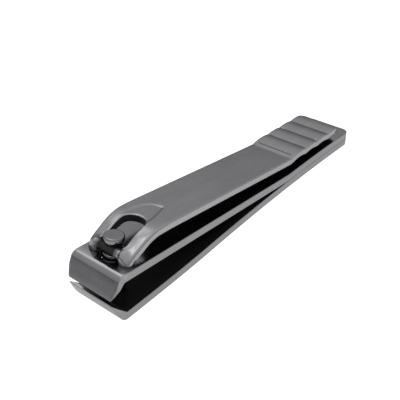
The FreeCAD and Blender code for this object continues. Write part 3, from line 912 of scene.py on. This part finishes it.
def brushed_steel(name, colour, rough, along=(1, 0, 0), scratch=0.5):
    """Brushed stainless steel: fine lines along one direction, soft blotches, rims brightened as wear and as
    a painted highlight, and shade painted dark where the mesh marks it.
    """
    material = bpy.data.materials.new(name)
    material.use_nodes = True
    nodes = material.node_tree.nodes
    links = material.node_tree.links
    shader = nodes["Principled BSDF"]
    shader.inputs["Metallic"].default_value = 1.0
    shader.inputs["Specular Tint"].default_value = (0.6, 0.6, 0.6, 1)

    place = nodes.new("ShaderNodeTexCoord")
    stretch = nodes.new("ShaderNodeMapping")
    stretch.inputs["Scale"].default_value = tuple(LINES_ALONG if a else LINES_ACROSS for a in along)
    lines = nodes.new("ShaderNodeTexNoise")
    lines.inputs["Scale"].default_value = 1.0
    lines.inputs["Detail"].default_value = 3.0
    lines.inputs["Roughness"].default_value = 0.6
    links.new(place.outputs["Object"], stretch.inputs["Vector"])
    links.new(stretch.outputs["Vector"], lines.inputs["Vector"])

    cloud_scale = nodes.new("ShaderNodeMapping")
    cloud_scale.inputs["Scale"].default_value = tuple(BLOTCHES_ALONG if a else BLOTCHES_ACROSS for a in along)
    clouds = nodes.new("ShaderNodeTexNoise")
    clouds.inputs["Scale"].default_value = 1.0
    clouds.inputs["Detail"].default_value = 4.0
    links.new(place.outputs["Object"], cloud_scale.inputs["Vector"])
    links.new(cloud_scale.outputs["Vector"], clouds.inputs["Vector"])

    tone = nodes.new("ShaderNodeValToRGB")
    tone.color_ramp.elements[0].position = 0.3
    tone.color_ramp.elements[1].position = 0.75
    tone.color_ramp.elements[0].color = (*[c * DARKEST for c in colour], 1)
    tone.color_ramp.elements[1].color = (*[c * LIGHTEST for c in colour], 1)
    blend = nodes.new("ShaderNodeMix")
    blend.data_type = "FLOAT"
    blend.inputs[0].default_value = 0.6
    links.new(lines.outputs["Fac"], blend.inputs[2])
    links.new(clouds.outputs["Fac"], blend.inputs[3])
    links.new(blend.outputs[0], tone.inputs["Fac"])

    # The rim value brightens the colour: wear and painted highlight on rims, painted highlight along the
    # upper bend.
    wear_and_sheen = nodes.new("ShaderNodeAttribute")
    wear_and_sheen.attribute_name = "rim"
    worn_and_sheen = nodes.new("ShaderNodeMix")
    worn_and_sheen.data_type = "RGBA"
    worn_and_sheen.inputs[7].default_value = (*[c * WEAR_AND_SHEEN_GAIN for c in colour], 1)
    fade = nodes.new("ShaderNodeMath")
    fade.operation = "MULTIPLY"
    fade.inputs[1].default_value = WEAR_AND_SHEEN_SHARE
    links.new(wear_and_sheen.outputs["Fac"], fade.inputs[0])
    links.new(fade.outputs[0], worn_and_sheen.inputs[0])
    links.new(tone.outputs["Color"], worn_and_sheen.inputs[6])
    # The painted shade value darkens the colour where shade falls: between parts, under the lever, in grooves
    # and on the post's neck.
    painted_shade = nodes.new("ShaderNodeAttribute")
    painted_shade.attribute_name = "painted_shade"
    painted_shading = nodes.new("ShaderNodeMix")
    painted_shading.data_type = "RGBA"
    painted_shading.inputs[7].default_value = (*[c * PAINTED_SHADE_SHARE for c in colour], 1)
    links.new(painted_shade.outputs["Fac"], painted_shading.inputs[0])
    links.new(worn_and_sheen.outputs[2], painted_shading.inputs[6])
    links.new(painted_shading.outputs[2], shader.inputs["Base Color"])

    matte = nodes.new("ShaderNodeMapRange")
    matte.inputs["From Min"].default_value = 0.25
    matte.inputs["From Max"].default_value = 0.75
    matte.inputs["To Min"].default_value = rough * 0.75
    matte.inputs["To Max"].default_value = rough * 1.3
    links.new(blend.outputs[0], matte.inputs["Value"])
    rougher = nodes.new("ShaderNodeMix")
    rougher.data_type = "FLOAT"
    rougher.inputs[3].default_value = PAINTED_SHADE_ROUGH
    links.new(painted_shade.outputs["Fac"], rougher.inputs[0])
    links.new(matte.outputs["Result"], rougher.inputs[2])
    links.new(rougher.outputs[0], shader.inputs["Roughness"])

    relief = nodes.new("ShaderNodeBump")
    relief.inputs["Strength"].default_value = scratch
    relief.inputs["Distance"].default_value = RELIEF
    links.new(lines.outputs["Fac"], relief.inputs["Height"])
    links.new(relief.outputs["Normal"], shader.inputs["Normal"])
    return material


FLOOR_TONE = 0.38
POOL_FULL = 0.16             # how far the floor's painted glow is full, and where it stops, in metres
POOL_END = 0.23


def plain_floor():
    """Pale floor that glows, as painted light, in a wide pool that fades away from the clipper."""
    material = bpy.data.materials.new("pale_floor")
    material.use_nodes = True
    nodes = material.node_tree.nodes
    links = material.node_tree.links
    shader = nodes["Principled BSDF"]
    shader.inputs["Base Color"].default_value = (FLOOR_TONE, FLOOR_TONE, FLOOR_TONE, 1)
    shader.inputs["Roughness"].default_value = 0.9
    shader.inputs["Specular IOR Level"].default_value = 0.1
    shader.inputs["Emission Color"].default_value = (1, 1, 1, 1)
    place = nodes.new("ShaderNodeTexCoord")
    reach = nodes.new("ShaderNodeVectorMath")
    reach.operation = "LENGTH"
    fall = nodes.new("ShaderNodeMapRange")
    fall.interpolation_type = "SMOOTHSTEP"
    fall.inputs["From Min"].default_value = POOL_FULL
    fall.inputs["From Max"].default_value = POOL_END
    fall.inputs["To Min"].default_value = 1.0
    fall.inputs["To Max"].default_value = 0.0
    links.new(place.outputs["Object"], reach.inputs[0])
    links.new(reach.outputs["Value"], fall.inputs["Value"])
    links.new(fall.outputs["Result"], shader.inputs["Emission Strength"])
    return material


# ---------------------------------------------------------------- stage, lights and camera

CAMERA_PLACE = (-103.79, -78.38, 94.44)     # millimetres
CAMERA_HEADING = -49.894       # degrees, 0 looks along +Y
CAMERA_PITCH = 35.215          # degrees below the horizon
CAMERA_ROLL = -1.17
CAMERA_LENS = 61.8
SENSOR = 36.0
FLOOR_REACH = 3.0            # metres
# Soft sky: (upward part of the direction, brightness)
SKY = [(0.0, 0.17), (0.17, 0.2), (0.3, 0.38), (0.4, 0.48), (0.8, 0.55), (0.98, 0.65)]
SKY_STRENGTH = 2.0


def make_floor():
    mesh = bmesh.new()
    bmesh.ops.create_grid(mesh, x_segments=8, y_segments=8, size=FLOOR_REACH)
    data = bpy.data.meshes.new("floor")
    mesh.to_mesh(data)
    mesh.free()
    floor = bpy.data.objects.new("floor", data)
    bpy.context.scene.collection.objects.link(floor)
    floor.data.materials.append(plain_floor())


def softbox(name, place, target, size, power):
    """Rectangular area light, place and target in millimetres."""
    data = bpy.data.lights.new(name, "AREA")
    data.shape = "RECTANGLE"
    data.size = size[0] * MM
    data.size_y = size[1] * MM
    data.energy = power
    lamp = bpy.data.objects.new(name, data)
    bpy.context.scene.collection.objects.link(lamp)
    away = Vector(place) - Vector(target)
    lamp.location = Vector(place) * MM
    lamp.rotation_euler = away.to_track_quat("Z", "Y").to_euler()


def make_lights():
    world = bpy.data.worlds.new("studio")
    world.use_nodes = True
    nodes = world.node_tree.nodes
    links = world.node_tree.links
    place = nodes.new("ShaderNodeTexCoord")
    axes = nodes.new("ShaderNodeSeparateXYZ")
    sky = nodes.new("ShaderNodeValToRGB")
    for height, level in SKY:
        stop = sky.color_ramp.elements.new(height)
        stop.color = (level, level, level, 1)
    sky.color_ramp.elements.remove(sky.color_ramp.elements[0])
    sky.color_ramp.elements.remove(sky.color_ramp.elements[-1])
    links.new(place.outputs["Generated"], axes.inputs[0])
    links.new(axes.outputs["Z"], sky.inputs["Fac"])
    links.new(sky.outputs["Color"], nodes["Background"].inputs["Color"])
    nodes["Background"].inputs["Strength"].default_value = SKY_STRENGTH
    bpy.context.scene.world = world
    softbox("overhead", (-75, 60, 420), (0, 0, 0), (150, 190), 0.21)
    softbox("rear_left", (90, 290, 420), (0, 0, 0), (240, 160), 0.16)


def make_camera():
    data = bpy.data.cameras.new("camera")
    data.lens = CAMERA_LENS
    data.sensor_width = SENSOR
    data.clip_start = 0.001
    camera = bpy.data.objects.new("camera", data)
    turn = (Matrix.Rotation(math.radians(CAMERA_HEADING), 4, "Z")
            @ Matrix.Rotation(math.radians(90 - CAMERA_PITCH), 4, "X")
            @ Matrix.Rotation(math.radians(CAMERA_ROLL), 4, "Z"))
    camera.matrix_world = Matrix.Translation(Vector(CAMERA_PLACE) * MM) @ turn
    bpy.context.scene.collection.objects.link(camera)
    bpy.context.scene.camera = camera


# ---------------------------------------------------------------- assembly


def main():
    lever = make_lever()
    lever.data.materials.append(brushed_steel("lever_finish", (0.225, 0.221, 0.229), 0.27))
    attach(lever, "lever")
    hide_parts("lever")

    upper = make_upper_strip()
    upper.data.materials.append(brushed_steel("upper_finish", (0.18, 0.177, 0.184), 0.18))
    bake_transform(upper)
    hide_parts("upper_jaw", "upper_jaw_root")

    lower = make_lower_strip()
    lower.data.materials.append(brushed_steel("lower_finish", (0.18, 0.177, 0.184), 0.18))
    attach(lower, "jaws")
    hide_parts("lower_jaw")

    post = make_post()
    post.data.materials.append(brushed_steel("post_finish", (0.17, 0.167, 0.173), 0.16, along=(0, 0, 1)))
    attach(post, "post")
    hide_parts("post")

    make_floor()
    make_lights()
    make_camera()
    bpy.context.scene.view_settings.view_transform = "Standard"


main()
